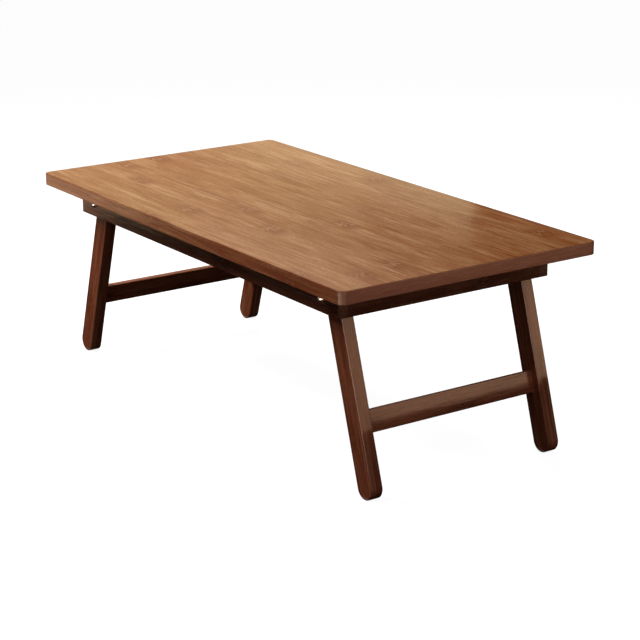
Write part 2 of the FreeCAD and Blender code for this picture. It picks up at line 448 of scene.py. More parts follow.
    def strip_traits(self, sheet: Sheet, layout: Layout, column: Any, fate: Node) -> list[Any]:
        """Where a strip's nodes lie and how it looks.

        Args:
            sheet: the material's sheet.
            layout: how the strips lie.
            column: the strip's number.
            fate: the noise that is steady over one strip.

        Returns:
            Sockets of the place of a node, the distance between nodes, the marks' strength and
            the strip's tone.
        """
        if not layout.strips:
            chance = sheet.node("ShaderNodeSeparateColor", {0: fate.outputs["Color"]}).outputs
            place = sheet.sum("MULTIPLY", chance[0], self.internode)
            least = self.internode_least * self.internode
            gap = sheet.sum("MULTIPLY_ADD", chance[1], self.internode_swing * self.internode, least)
            strength = sheet.smooth(chance[2], *self.strength_chances, *self.strength_span)
            return [place, gap, strength, fate.outputs["Value"]]
        count = len(layout.strips)
        position = sheet.sum("DIVIDE", sheet.sum("ADD", sheet.sum("ROUND", column), count / 2 + 0.5), count)
        traits = []
        for name in ("node_at", "internode", "strength", "tone"):
            table = sheet.node("ShaderNodeValToRGB", {"Fac": position})
            table.color_ramp.interpolation = "CONSTANT"
            elements = table.color_ramp.elements
            while len(elements) < count:
                elements.new(0.5)
            for number, strip in enumerate(layout.strips):
                level = getattr(strip, name)
                elements[number].position = number / count
                elements[number].color = (level, level, level, 1.0)
            traits.append(table.outputs[0])
        return traits

    def streaks(self, sheet: Sheet, place: Any, shift: Any, drift: Any) -> Any:
        """Thin wavy lines along the fibres, in some stretches of some strips.

        Args:
            sheet: the material's sheet.
            place: the turned coordinates.
            shift: how far the strip's pattern is moved.
            drift: slow noise that moves the stretches about.

        Returns:
            The socket of how strongly a streak shows.
        """
        waves = sheet.noise(place, self.streak_stretch, 2.0, shift)
        line = sheet.smooth(sheet.off(waves, 0.5), *self.streak_span, 1.0, 0.0)
        where = sheet.sum("ADD", sheet.noise(place, self.streaked_stretch, 1.0, shift), drift)
        return sheet.sum("MULTIPLY", line, sheet.smooth(where, *self.streaked_span))

    def ramp(self, sheet: Sheet, lightness: Any) -> Any:
        """Colour of the wood from dark to light.

        Args:
            sheet: the material's sheet.
            lightness: from 0, dark, to 1, light.

        Returns:
            The colour's socket.
        """
        ramp = sheet.node("ShaderNodeValToRGB", {"Fac": lightness})
        elements = ramp.color_ramp.elements
        elements[0].position, elements[0].color = 0.02, (*self.dark, 1.0)
        elements[1].position, elements[1].color = 0.98, (*self.light, 1.0)
        elements.new(0.5).color = (*self.middle, 1.0)
        return ramp.outputs[0]

    def node_marks(
        self, sheet: Sheet, place: Any, along: Any, share: Any, traits: list[Any]
    ) -> tuple[Any, Any]:
        """The marks that the cane's nodes leave on each strip.

        Args:
            sheet: the material's sheet.
            place: the turned coordinates.
            along: the coordinate along the fibres.
            share: the point's share of its strip's width.
            traits: sockets of the place of a node, the distance between nodes and the strength.

        Returns:
            Sockets of the stained halo and of the wavy band in its middle.
        """
        node_at, internode, strength = traits[:3]
        moved = sheet.weighed(along, (sheet.noise(place, self.wander_stretch), self.node_wander))
        turns = sheet.sum("DIVIDE", sheet.sum("SUBTRACT", moved, node_at), internode)
        away = sheet.sum("MULTIPLY", sheet.sum("SUBTRACT", turns, sheet.sum("ROUND", turns)), internode)
        fibres = sheet.noise(place, self.fibre_stretch, 3.0)
        reach = sheet.sum("MULTIPLY_ADD", fibres, *self.halo_reach)
        halo = sheet.smooth(sheet.off(away, self.halo_shift), self.halo_core, reach, 1.0, 0.0)
        band = sheet.smooth(sheet.off(away, 0.0), *self.band_span, self.band_strength, 0.0)
        lens = sheet.smooth(sheet.off(share, 0.5), *self.lens_span, 1.0, 0.0)
        shown = sheet.sum("MULTIPLY", lens, strength)
        return sheet.sum("MULTIPLY", halo, shown), sheet.sum("MULTIPLY", band, shown)

    def end_grain(self, sheet: Sheet, place: Any, shift: Any) -> Any:
        """Colour of a cut end: short streaks across, dotted with the ends of the fibres.

        Args:
            sheet: the material's sheet.
            place: the turned coordinates.
            shift: how far the strip's pattern is moved.

        Returns:
            The colour's socket.
        """
        streak = sheet.noise(place, self.end_stretch, 3.0, shift)
        dots = sheet.smooth(sheet.noise(place, self.dot_stretch, 1.0), *self.dot_span)
        level = sheet.weighed(0.5, (streak, self.end_streak_weight), (dots, self.dot_weight))
        return sheet.mix(1.0, self.ramp(sheet, level), self.end_tint, "MULTIPLY")


@dataclass(frozen=True)
class Plain(Finish):
    """Steel, nylon or plain wood: patches of a second colour under a fine grain.

    A stretch is how many patches or lines lie in a metre along each axis, and the span is the
    stretch of the noise over which one colour goes over into the other.
    """

    colour: Colour
    patch: Colour
    patch_stretch: Point
    patch_span: tuple[float, float]
    grain_stretch: Point
    grain_detail: float
    grain_depth: float
    roughness: float
    roughness_swing: float = 0.2
    metallic: float = 0.0

    def dressed(self) -> Material:
        """Make the material.

        Returns:
            The material.
        """
        material, sheet, shader = self.begin()
        place = sheet.node("ShaderNodeTexCoord").outputs["Object"]
        patches = sheet.smooth(sheet.noise(place, self.patch_stretch, 3.0), *self.patch_span)
        sheet.feed(shader.inputs["Base Color"], sheet.mix(patches, self.colour, self.patch))
        shader.inputs["Metallic"].default_value = self.metallic
        grain = sheet.noise(place, self.grain_stretch, self.grain_detail)
        sheet.feed(shader.inputs["Roughness"], sheet.weighed(self.roughness, (grain, self.roughness_swing)))
        self.relief(sheet, shader, grain, self.grain_depth)
        return material


class Recipe:
    """A Geometry Nodes tree with named inputs, made once and used by many pieces."""

    crease = math.radians(32.0)

    def __init__(self, name: str) -> None:
        """Start the tree with a geometry input and a geometry output.

        Args:
            name: the tree's name.
        """
        self.tree = bpy.data.node_groups.new(name, "GeometryNodeTree")
        self.tree.interface.new_socket("Geometry", in_out="OUTPUT", socket_type="NodeSocketGeometry")
        self.tree.interface.new_socket("Geometry", in_out="INPUT", socket_type="NodeSocketGeometry")
        self.sheet = Sheet(self.tree)
        self.entry = self.sheet.node("NodeGroupInput")

    def named(self, kind: str, *names: str) -> list[Socket]:
        """Add named inputs.

        Args:
            kind: Float, Int, Vector, Object or Material.
            names: their names.

        Returns:
            The sockets that give their values inside the tree.
        """
        for name in names:
            self.tree.interface.new_socket(name, in_out="INPUT", socket_type="NodeSocket" + kind)
        return [self.entry.outputs[name] for name in names]

    def done(self, geometry: Any) -> "Recipe":
        """End the tree: shade it smooth up to a crease, realize its instances and set its material.

        Args:
            geometry: the socket or node that gives the finished shape.

        Returns:
            The recipe.
        """
        sheet = self.sheet
        [material] = self.named("Material", "Material")
        whole = sheet.geometry("RealizeInstances", {"Geometry": geometry})
        faces = sheet.geometry("SetShadeSmooth", {"Geometry": whole, "Shade Smooth": True}, domain="FACE")
        angle = sheet.geometry("InputMeshEdgeAngle").outputs[0]
        sharp = sheet.node(
            "FunctionNodeCompare", {0: angle, 1: self.crease}, data_type="FLOAT", operation="GREATER_THAN"
        )
        edge_inputs = {"Geometry": faces, "Selection": sharp, "Shade Smooth": False}
        edges = sheet.geometry("SetShadeSmooth", edge_inputs, domain="EDGE")
        painted = sheet.geometry("SetMaterial", {"Geometry": edges, "Material": material})
        sheet.node("NodeGroupOutput", {"Geometry": painted})
        return self

    def add_to(self, piece: Piece, **values: Any) -> None:
        """Put the recipe on a piece.

        Args:
            piece: the object that it makes.
            values: its inputs by name, with _ for each space.
        """
        modifier = piece.modifiers.new(self.tree.name, "NODES")
        modifier.node_group = self.tree
        wanted = {name.replace("_", " "): value for name, value in values.items()}
        for item in self.tree.interface.items_tree:
            if item.in_out == "INPUT" and item.name in wanted:
                modifier[item.identifier] = wanted.pop(item.name)
        if wanted:
            raise LookupError(f"{self.tree.name} has no input named {sorted(wanted)}")


class Workshop:
    """Makes the plain meshes of the pieces from the shop's recipes."""

    circle_steps = 40
    corner_steps = 10
    spiral_steps = 24
    merge_distance = 1e-6
    eased_from = 0.25
    underside_from = -0.5

    def __init__(self) -> None:
        """Draw up every recipe."""
        self.bar = self.bar_recipe()
        self.joinery = self.joinery_recipe()
        self.turning = self.turning_recipe()
        self.drill = self.drill_recipe()
        self.thread = self.thread_recipe()

    def bar_recipe(self) -> Recipe:
        """A flat bar with rounded corners in plan, turned and carried to its place.

        Returns:
            The recipe, with every input named.
        """
        recipe = Recipe("rounded_bar")
        sheet = recipe.sheet
        length, width, thickness = recipe.named("Float", "Length", "Width", "Thickness")
        radius, underside_share = recipe.named("Float", "Corner Radius", "Underside Share")
        [steps] = recipe.named("Int", "Corner Steps")
        turn, place, eased_towards, eased_along = recipe.named(
            "Vector", "Turn", "Place", "Eased Towards", "Eased Along"
        )
        outline = sheet.geometry("CurvePrimitiveQuadrilateral", {"Width": length, "Height": width})
        rounded = sheet.geometry("FilletCurve", {"Curve": outline, "Radius": radius}, mode="POLY")
        sheet.feed(rounded.inputs["Count"], steps)
        sheet.feed(rounded.inputs["Limit Radius"], True)
        flat = sheet.geometry("FillCurve", {"Curve": rounded}, mode="NGONS")
        rise = sheet.geometry("ExtrudeMesh", {"Mesh": flat, "Offset Scale": thickness})
        sheet.feed(rise.inputs["Individual"], False)
        base = sheet.geometry("FlipFaces", {"Mesh": flat})
        both = sheet.geometry("JoinGeometry", {"Geometry": [rise, base]})
        whole = sheet.geometry("MergeByDistance", {"Geometry": both, "Distance": self.merge_distance})
        half = sheet.sum("MULTIPLY", thickness, -0.5)
        sunk = sheet.node("ShaderNodeCombineXYZ", {"Z": half})
        centred = sheet.geometry("Transform", {"Geometry": whole, "Translation": sunk})
        size = sheet.node("ShaderNodeCombineXYZ", {0: length, 1: width, 2: thickness})
        half_size = sheet.scaled(size, 0.5)
        ends = sheet.geometry("InputMeshEdgeVertices")
        both_ends = sheet.vector("ADD", ends.outputs["Position 1"], ends.outputs["Position 2"])
        middle = sheet.scaled(both_ends, 0.5)
        where = sheet.vector("DIVIDE", middle, half_size)
        towards = sheet.dot(where, eased_towards)
        along = sheet.dot(sheet.vector("ABSOLUTE", where), eased_along)
        eased = sheet.sum("GREATER_THAN", sheet.sum("ADD", towards, along), self.eased_from)
        height = sheet.node("ShaderNodeSeparateXYZ", {0: where}).outputs["Z"]
        below = sheet.sum("LESS_THAN", height, self.underside_from)
        lighter = sheet.sum("MULTIPLY", below, sheet.sum("SUBTRACT", 1.0, underside_share))
        weight = sheet.sum("MULTIPLY", eased, sheet.sum("SUBTRACT", 1.0, lighter))
        marked = sheet.geometry(
            "StoreNamedAttribute",
            {"Geometry": centred, "Name": "bevel_weight_edge", "Value": weight},
            data_type="FLOAT",
            domain="EDGE",
        )
        placed = sheet.geometry("Transform", {"Geometry": marked, "Translation": place, "Rotation": turn})
        return recipe.done(placed)

    def joinery_recipe(self) -> Recipe:
        """Take one piece's cutters out of it and add its tenons.

        Returns:
            The recipe, with every input named.
        """
        recipe = Recipe("joinery")
        sheet = recipe.sheet
        cutters, tenons = recipe.named("Object", "Cutters", "Tenons")
        cut = sheet.geometry("ObjectInfo", {"Object": cutters}).outputs["Geometry"]
        grown = sheet.geometry("ObjectInfo", {"Object": tenons}).outputs["Geometry"]
        holed = sheet.geometry("MeshBoolean", operation="DIFFERENCE", solver="EXACT")
        sheet.feed(holed.inputs["Mesh 1"], recipe.entry.outputs["Geometry"])
        sheet.feed(holed.inputs["Mesh 2"], cut)
        sheet.feed(holed.inputs["Self Intersection"], True)
        whole = sheet.geometry("MeshBoolean", operation="UNION", solver="EXACT")
        sheet.feed(whole.inputs["Mesh 2"], [holed.outputs["Mesh"], grown])
        sheet.feed(whole.inputs["Self Intersection"], True)
        return recipe.done(whole.outputs["Mesh"])

    def turning_recipe(self) -> Recipe:
        """Turn a profile, radius along X and height along Z, about Z, and set one on each place.

        Six flats take off whatever lies further out than the flats' distance.

        Returns:
            The recipe, with every input named.
        """
        recipe = Recipe("turned_on_places")
        sheet = recipe.sheet
        profile = recipe.entry.outputs["Geometry"]
        [steps] = recipe.named("Int", "Steps")
        [flats] = recipe.named("Float", "Flats")
        [places] = recipe.named("Object", "Places")
        [facing] = recipe.named("Vector", "Facing")
        count = sheet.geometry("AttributeDomainSize", {"Geometry": profile}).outputs["Point Count"]
        across = sheet.sum("ADD", steps, 1)
        grid = sheet.geometry("MeshGrid", {"Vertices X": across, "Vertices Y": count}).outputs["Mesh"]
        index = sheet.geometry("InputIndex").outputs[0]
        row = sheet.sum("FLOORED_MODULO", index, count)
        step = sheet.sum("FLOOR", sheet.sum("DIVIDE", index, count))
        angle = sheet.sum("DIVIDE", sheet.sum("MULTIPLY", step, 2 * math.pi), steps)
        position = sheet.geometry("InputPosition").outputs[0]
        station = sheet.geometry(
            "SampleIndex", {"Geometry": profile}, data_type="FLOAT_VECTOR", domain="POINT"
        )
        sheet.feed(station.inputs["Value"], position)
        sheet.feed(station.inputs["Index"], row)
        radius, _, height = sheet.node("ShaderNodeSeparateXYZ", {0: station.outputs[0]}).outputs
        off_flat = sheet.sum("SUBTRACT", sheet.sum("FLOORED_MODULO", angle, math.pi / 3), math.pi / 6)
        radius = sheet.sum("MINIMUM", radius, sheet.sum("DIVIDE", flats, sheet.sum("COSINE", off_flat)))
        x, y = (sheet.sum("MULTIPLY", radius, sheet.sum(name, angle)) for name in ("COSINE", "SINE"))
        where = sheet.node("ShaderNodeCombineXYZ", {0: x, 1: y, 2: height})
        turned = sheet.geometry("SetPosition", {"Geometry": grid, "Position": where})
        whole = sheet.geometry("MergeByDistance", {"Geometry": turned, "Distance": self.merge_distance})
        return recipe.done(self.on_places(sheet, whole, places, facing))

    def on_places(self, sheet: Sheet, shape: Any, places: Any, facing: Any) -> Any:
        """Set a shape on every point of an object.

        Args:
            sheet: the sheet of the tree.
            shape: what is set.
            places: the object whose points are the places.
            facing: how much of a place's position its shape's Z turns to, added to Z itself.

        Returns:
            The node that makes the instances.
        """
        points = sheet.geometry("ObjectInfo", {"Object": places}).outputs["Geometry"]
        position = sheet.geometry("InputPosition").outputs[0]
        outward = sheet.vector("MULTIPLY", position, facing)
        turn = sheet.node("FunctionNodeAlignRotationToVector", {"Vector": outward}, axis="Z")
        return sheet.geometry(
            "InstanceOnPoints", {"Points": points, "Instance": shape, "Rotation": turn.outputs[0]}
        )

    def drill_recipe(self) -> Recipe:
        """A cutter for each point of the piece, as wide, deep and slanted as the point says.

        Returns:
            The recipe, with every input named.
        """
        recipe = Recipe("drill")
        sheet = recipe.sheet
        [sides] = recipe.named("Int", "Sides")
        rod = sheet.geometry("MeshCylinder", {"Vertices": sides, "Radius": 1.0, "Depth": 1.0}).outputs["Mesh"]
        size, axis = (
            sheet.geometry("InputNamedAttribute", {"Name": name}, data_type="FLOAT_VECTOR").outputs[0]
            for name in ("size", "axis")
        )
        turn = sheet.node("FunctionNodeAlignRotationToVector", {"Vector": axis}, axis="Z").outputs[0]
        rods = sheet.geometry(
            "InstanceOnPoints",
            {"Points": recipe.entry.outputs["Geometry"], "Instance": rod, "Rotation": turn, "Scale": size},
        )
        return recipe.done(rods)

    def thread_recipe(self) -> Recipe:
        """A thread's ridge, wound down a shank and set on each place.

        Returns:
            The recipe, with every input named.
        """
        recipe = Recipe("thread_on_places")
        sheet = recipe.sheet
        radius, pitch, length = recipe.named("Float", "Radius", "Pitch", "Length")
        ridge, start = recipe.named("Float", "Ridge", "Start")
        [places] = recipe.named("Object", "Places")
        [facing] = recipe.named("Vector", "Facing")
        spiral = sheet.geometry("CurveSpiral", {"Resolution": self.spiral_steps})
        sheet.feed(spiral.inputs["Start Radius"], radius)
        sheet.feed(spiral.inputs["End Radius"], radius)
        sheet.feed(spiral.inputs["Rotations"], sheet.sum("DIVIDE", length, pitch))
        sheet.feed(spiral.inputs["Height"], length)
        section = sheet.geometry("CurvePrimitiveCircle", {"Resolution": 3, "Radius": ridge}).outputs[0]
        wound = sheet.geometry("CurveToMesh", {"Curve": spiral, "Profile Curve": section})
        sheet.feed(wound.inputs["Fill Caps"], True)
        lift = sheet.node("ShaderNodeCombineXYZ", {"Z": start})
        placed = sheet.geometry("Transform", {"Geometry": wound, "Translation": lift})
        return recipe.done(self.on_places(sheet, placed, places, facing))


def new_object(name: str, mesh: bpy.types.Mesh) -> Piece:
    """Link a mesh to the scene as an object at the origin.

    Args:
        name: the object's name.
        mesh: its mesh.

    Returns:
        The object.
    """
    made = bpy.data.objects.new(name, mesh)
    bpy.context.scene.collection.objects.link(made)
    return made


def wire(name: str, points: Iterable[Sequence[float]]) -> Piece:
    """An object of plain points in order, joined by edges.

    Args:
        name: the object's name.
        points: the points, in metres.

    Returns:
        The object.
    """
    points = [tuple(one) for one in points]
    mesh = bpy.data.meshes.new(name)
    mesh.from_pydata(points, [(i, i + 1) for i in range(len(points) - 1)], [])
    return new_object(name, mesh)


def profile(name: str, stations: Sequence[Station]) -> Piece:
    """A wire through stations of radius and height, to be turned about Z."""
    return wire(name, [(radius, 0.0, height) for radius, height in stations])


def settled(piece: Piece, *helpers: Piece) -> Piece:
    """Turn a piece and its modifiers into a plain mesh, and take its helpers away.

    Args:
        piece: the object with its modifiers.
        helpers: objects that only its modifiers read.

    Returns:
        An object of the same name with the finished mesh and no modifier.
    """
    name = piece.name
    graph = bpy.context.evaluated_depsgraph_get()
    mesh = bpy.data.meshes.new_from_object(
        piece.evaluated_get(graph), preserve_all_data_layers=True, depsgraph=graph
    )
    for old in (piece, *helpers):
        bpy.data.objects.remove(old)
    mesh.name = name
    made = new_object(name, mesh)
    LOG.info("%s: %d faces", name, len(mesh.polygons))
    return made


def dressed(piece: Piece, body: str, nodes: Iterable[str]) -> Piece:
    """Hang a finished piece on its body, and hide the nodes of the frame that it stands for.

    Args:
        piece: the finished piece.
        body: the body that it moves with.
        nodes: the nodes of the frame that it replaces.

    Returns:
        The piece.
    """
    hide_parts(*nodes)
    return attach(piece, body)


@dataclass
class Bore:
    """A hole to be cut: its middle, axis, diameter and depth, and its share across."""

    middle: Vector
    axis: Vector
    diameter: float
    depth: float
    share_across: float = 1.0


def bore_cutters(
    shop: Workshop, name: str, bores: Sequence[Bore], sides: int = Workshop.circle_steps
) -> Piece:
    """Make the cutters of a piece's bores as one object.

    Args:
        shop: the workshop with the recipes.
        name: the piece's name.
        bores: the holes.
        sides: how many sides each hole has.

    Returns:
        The object with all the cutters.
    """
    cutters = wire(name + "_bores", [bore.middle for bore in bores])
    size = cutters.data.attributes.new("size", "FLOAT_VECTOR", "POINT")
    axis = cutters.data.attributes.new("axis", "FLOAT_VECTOR", "POINT")
    for number, bore in enumerate(bores):
        size.data[number].vector = (bore.diameter / 2, bore.share_across * bore.diameter / 2, bore.depth)
        axis.data[number].vector = bore.axis
    shop.drill.add_to(cutters, Sides=sides)
    return settled(cutters)


@dataclass
class Bar:
    """A flat bar: its size, the radius of its corners in plan, its arris and where it lies.

    An edge gets the arris where its middle lies far enough out along eased_towards, or out to
    either side along eased_along. The underside's arris is a share of the rest.
    """

    length: float
    width: float
    thickness: float
    corner_radius: float
    arris: float
    place: Vector
    axes: tuple[Vector, Vector, Vector] | None = None
    eased_towards: Point = (0.0, 0.0, 0.0)
    eased_along: Point = (0.0, 0.0, 1.0)
    underside_share: float = 1.0

    arris_steps = 4

    def made(
        self,
        shop: Workshop,
        name: str,
        material: Material | None = None,
        cutters: Piece | None = None,
        tenon: Piece | None = None,
    ) -> Piece:
        """Make the bar's mesh.

        Args:
            shop: the workshop with the recipes.
            name: the piece's name.
            material: its material.
            cutters: an object to cut away.
            tenon: an object to grow on to it.

        Returns:
            The finished piece.
        """
        piece = wire(name, [])
        turn = Vector()
        if self.axes:
            turn = Vector(Matrix(self.axes).transposed().to_euler())
        shop.bar.add_to(
            piece,
            Length=self.length,
            Width=self.width,
            Thickness=self.thickness,
            Corner_Radius=self.corner_radius,
            Corner_Steps=shop.corner_steps,
            Turn=turn,
            Place=self.place,
            Eased_Towards=self.eased_towards,
            Eased_Along=self.eased_along,
            Underside_Share=self.underside_share,
            Material=material,
        )
        if self.arris:
            bevel = piece.modifiers.new("arris", "BEVEL")
            bevel.width = self.arris
            bevel.segments = self.arris_steps
            bevel.limit_method = "WEIGHT"
        helpers = [one for one in (cutters, tenon) if one]
        if helpers:
            shop.joinery.add_to(piece, Cutters=cutters, Tenons=tenon, Material=material)
        normals = piece.modifiers.new("normals", "WEIGHTED_NORMAL")
        normals.keep_sharp = True
        normals.weight = 100
        return settled(piece, *helpers)


@dataclass
class Board:
    """The board: strips of bamboo in three plies, its corners round and its edges eased."""

    node: str = "table_top"
    corner_radius: float = 0.009
    arris: float = 0.0012
    underside_share: float = 0.67

    def layout_middle(self) -> Vector:
        """Where the strips are laid from: the board's left end, half way across, inside the top ply."""
        low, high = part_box(self.node)
        return Vector((low.x, (low.y + high.y) / 2, high.z - BOARD_LAYOUT.ply / 2))

    def build(self, shop: Workshop, finish: Bamboo) -> None:
        """Make the board and set it on the apron.

        Args:
            shop: the workshop with the recipes.
            finish: the wood's finish.
        """
        size, place = box_size(self.node), box_middle(self.node)
        bar = Bar(*size, self.corner_radius, self.arris, place, underside_share=self.underside_share)
        material = finish.dressed(BOARD_LAYOUT, self.layout_middle(), "_board")
        piece = bar.made(shop, "board", material)
        dressed(piece, "table", [self.node])


@dataclass
class Apron:
    """The four rails under the board, with the bores for the pivots and the board's screws."""

    arris: float = 0.0008
    bolt_hole: float = 0.0062
    counterbore: float = 0.008
    screw_hole: float = 0.0043
    counterbore_depth: float = 0.018
    overrun: float = 0.001
    long_rail_screw_shares: tuple[float, ...] = (-0.38, 0.0, 0.38)
    end_rail_screw_shares: tuple[float, ...] = (-0.3, 0.3)

    def screw_places(self, node: str) -> list[Vector]:
        """Where a rail's screws stand, at the height of the seats of their heads.

        Args:
            node: the rail's node in the frame.

        Returns:
            One point for each screw.
        """
        size, middle = box_size(node), box_middle(node)
        seat = middle.z - size.z / 2 + self.counterbore_depth
        if size.x > size.y:
            return [Vector((share * size.x, middle.y, seat)) for share in self.long_rail_screw_shares]
        return [Vector((middle.x, share * size.y, seat)) for share in self.end_rail_screw_shares]

    def all_screw_places(self) -> list[Vector]:
        """Where the screws of all four rails stand."""
        rails = [f"{side.label}_rail" for side in Side] + [f"{end.label}_end_rail" for end in End]
        return [place for rail in rails for place in self.screw_places(rail)]

    def bores(self, node: str) -> list[Bore]:
        """Every hole of a rail.

        Args:
            node: the rail's node in the frame.

        Returns:
            The counterbores, the screws' holes and, in a long rail, the bolts' holes.
        """
        size, middle = box_size(node), box_middle(node)
        depth = self.counterbore_depth + self.overrun
        bores = []
        for seat in self.screw_places(node):
            bores.append(Bore(seat - depth / 2 * UPWARDS, UPWARDS, self.counterbore, depth))
            through = Vector((seat.x, seat.y, middle.z))
            bores.append(Bore(through, UPWARDS, self.screw_hole, size.z + 2 * self.overrun))
        if size.x > size.y:
            for end in End:
                bores.append(Bore(pivot(end, middle.y), BACKWARDS, self.bolt_hole, size.y + 2 * self.overrun))
        return bores

    def build(self, shop: Workshop, finish: Bamboo) -> None:
        """Make the four rails and fix them to the table.

        Args:
            shop: the workshop with the recipes.
            finish: the wood's finish.
        """
        long_wood = finish.dressed(LONG_RAIL_LAYOUT, box_middle("front_rail"), "_long_rail")
        end_wood = finish.dressed(END_RAIL_LAYOUT, box_middle("right_end_rail"), "_end_rail")
        # A long rail's lower edges are eased, and of an end rail's only the two that run along it.
        for side in Side:
            eased = (0.0, 0.5 * side.value, -1.0)
            self.build_rail(shop, f"{side.label}_rail", long_wood, eased, (-0.6, 0.0, 0.0))
        for end in End:
            self.build_rail(shop, f"{end.label}_end_rail", end_wood, (0.0, 0.0, -1.0), (0.0, -1.0, 0.0))

    def build_rail(
        self, shop: Workshop, node: str, material: Material, eased_towards: Point, eased_along: Point
    ) -> None:
        """Make one rail with its bores.

        Args:
            shop: the workshop with the recipes.
            node: the rail's node in the frame.
            material: its material.
            eased_towards: which way its eased edges lie.
            eased_along: less than nothing along the axis at whose ends its edges stay sharp.
        """
        size, place = box_size(node), box_middle(node)
        bar = Bar(*size, 0.0, self.arris, place, eased_towards=eased_towards, eased_along=eased_along)
        cutters = bore_cutters(shop, node, self.bores(node))
        piece = bar.made(shop, node + "_wood", material, cutters)
        dressed(piece, "table", [node])


@dataclass
class LegFrame:
    """Two splayed legs with round ends and the stretcher between them."""

    end: End
    arris: float = 0.0015
    bolt_hole: float = 0.00612
    stretcher_height: float = 0.0295
    stretcher_thickness: float = 0.008
    stretcher_arris: float = 0.0012
    tenon_height: float = 0.0225
    tenon_thickness: float = 0.0056
    tenon_length: float = 0.011
    mortise_depth: float = 0.0115
    glue_gap: float = 0.00005
    overrun: float = 0.001

    def node(self, side: Side) -> str:
        """The frame's name for a leg."""
        return f"{side.label}_{self.end.label}_leg"

    @property
    def radius(self) -> float:
        """Radius of a leg's round ends, which is half its width."""
        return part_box(self.node(Side.FRONT))[1].z - pivot(self.end).z

    @property
    def span(self) -> Vector:
        """From the pivot to the middle of the round foot, in the XZ plane.

        Returns:
            The vector along the leg's middle line.
        """
        low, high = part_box(self.node(Side.FRONT))
        foot_x = high.x - self.radius if self.end is End.RIGHT else low.x + self.radius
        return Vector((foot_x - pivot(self.end).x, 0.0, low.z + self.radius - pivot(self.end).z))

    @property
    def axes(self) -> tuple[Vector, Vector, Vector]:
        """Down the legs, across their width and towards the back."""
        down = self.span.normalized()
        return down, BACKWARDS.cross(down), BACKWARDS

    def leg_bar(self, side: Side) -> Bar:
        """The bar that a leg is shaped from.

        Args:
            side: the leg's side of the table.

        Returns:
            The bar.
        """
        width = 2 * self.radius
        place = pivot(self.end, box_middle(self.node(side)).y) + self.span / 2
        thickness = box_size(self.node(side)).y
        return Bar(self.span.length + width, width, thickness, self.radius, self.arris, place, self.axes)

    def tenon_bar(self, gap: float, low_y: float, high_y: float) -> Bar:
        """The round-ended tenon between two places along Y, or its mortise when there is a gap.

        Args:
            gap: the room all round it.
            low_y: where it starts.
            high_y: where it ends.

        Returns:
            The bar.
        """
        place = box_middle(f"{self.end.label}_stretcher")
        place.y = (low_y + high_y) / 2
        height = self.tenon_height + 2 * gap
        thickness = self.tenon_thickness + 2 * gap
        return Bar(height, thickness, high_y - low_y, thickness / 2, 0.0, place, self.axes)

    def build(self, shop: Workshop, finish: Bamboo) -> None:
        """Make the legs and the stretcher and hang them on their body.

        Args:
            shop: the workshop with the recipes.
            finish: the wood's finish.
        """
        body = f"{self.end.label}_legs"
        middle = box_middle(f"{self.end.label}_stretcher")
        leg_material = finish.dressed(LEG_LAYOUTS[self.end], middle, f"_{self.end.label}_legs")
        bar_material = finish.dressed(STRETCHER_LAYOUTS[self.end], middle, f"_{self.end.label}_stretcher")
        for side in Side:
            piece = self.build_leg(shop, side, leg_material)
            dressed(piece, body, [self.node(side)])
        piece = self.build_stretcher(shop, bar_material)
        dressed(piece, body, [f"{self.end.label}_stretcher"])

    def build_leg(self, shop: Workshop, side: Side, material: Material) -> Piece:
        """Make one leg, bored for its pivot and mortised for the stretcher.

        Args:
            shop: the workshop with the recipes.
            side: the leg's side of the table.
            material: its material.

        Returns:
            The finished leg.
        """
        low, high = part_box(self.node(side))
        name = f"leg_{side.label}_{self.end.label}"
        middle = pivot(self.end, (low.y + high.y) / 2)
        hole = Bore(middle, BACKWARDS, self.bolt_hole, high.y - low.y + 2 * self.overrun)
        bore = bore_cutters(shop, name, [hole])
        inner = min(abs(low.y), abs(high.y)) * side.value
        mouth = inner - side.value * self.overrun
        deep = inner + side.value * self.mortise_depth
        mortise = self.tenon_bar(self.glue_gap, min(mouth, deep), max(mouth, deep))
        combine(bore, mortise.made(shop, name + "_mortise"))
        return self.leg_bar(side).made(shop, name, material, bore)

    def build_stretcher(self, shop: Workshop, material: Material) -> Piece:
        """Make the stretcher with its tenons.

        Args:
            shop: the workshop with the recipes.
            material: its material.

        Returns:
            The finished stretcher.
        """
        node = f"{self.end.label}_stretcher"
        low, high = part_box(node)
        shoulder = high.y - self.tenon_length
        tenon = self.tenon_bar(0.0, low.y, high.y).made(shop, node + "_tenon", material)
        down = self.axes[0]
        axes = (BACKWARDS, down, BACKWARDS.cross(down))
        size = (2 * shoulder, self.stretcher_height, self.stretcher_thickness)
        bar = Bar(*size, 0.0, self.stretcher_arris, box_middle(node), axes, eased_along=(-2.0, 1.0, 1.0))
        return bar.made(shop, node + "_wood", material, tenon=tenon)


def combine(first: Piece, second: Piece) -> None:
    """Add the second object's mesh to the first's and remove the second.

    Args:
        first: the object that grows.
        second: the object that is used up.
    """
    points, faces = [], []
    for mesh in (first.data, second.data):
        offset = len(points)
        points += [vertex.co.copy() for vertex in mesh.vertices]
        faces += [[offset + index for index in face.vertices] for face in mesh.polygons]
    mesh = bpy.data.meshes.new(first.name)
    mesh.from_pydata(points, [], faces)
    first.data = mesh
    bpy.data.objects.remove(second)


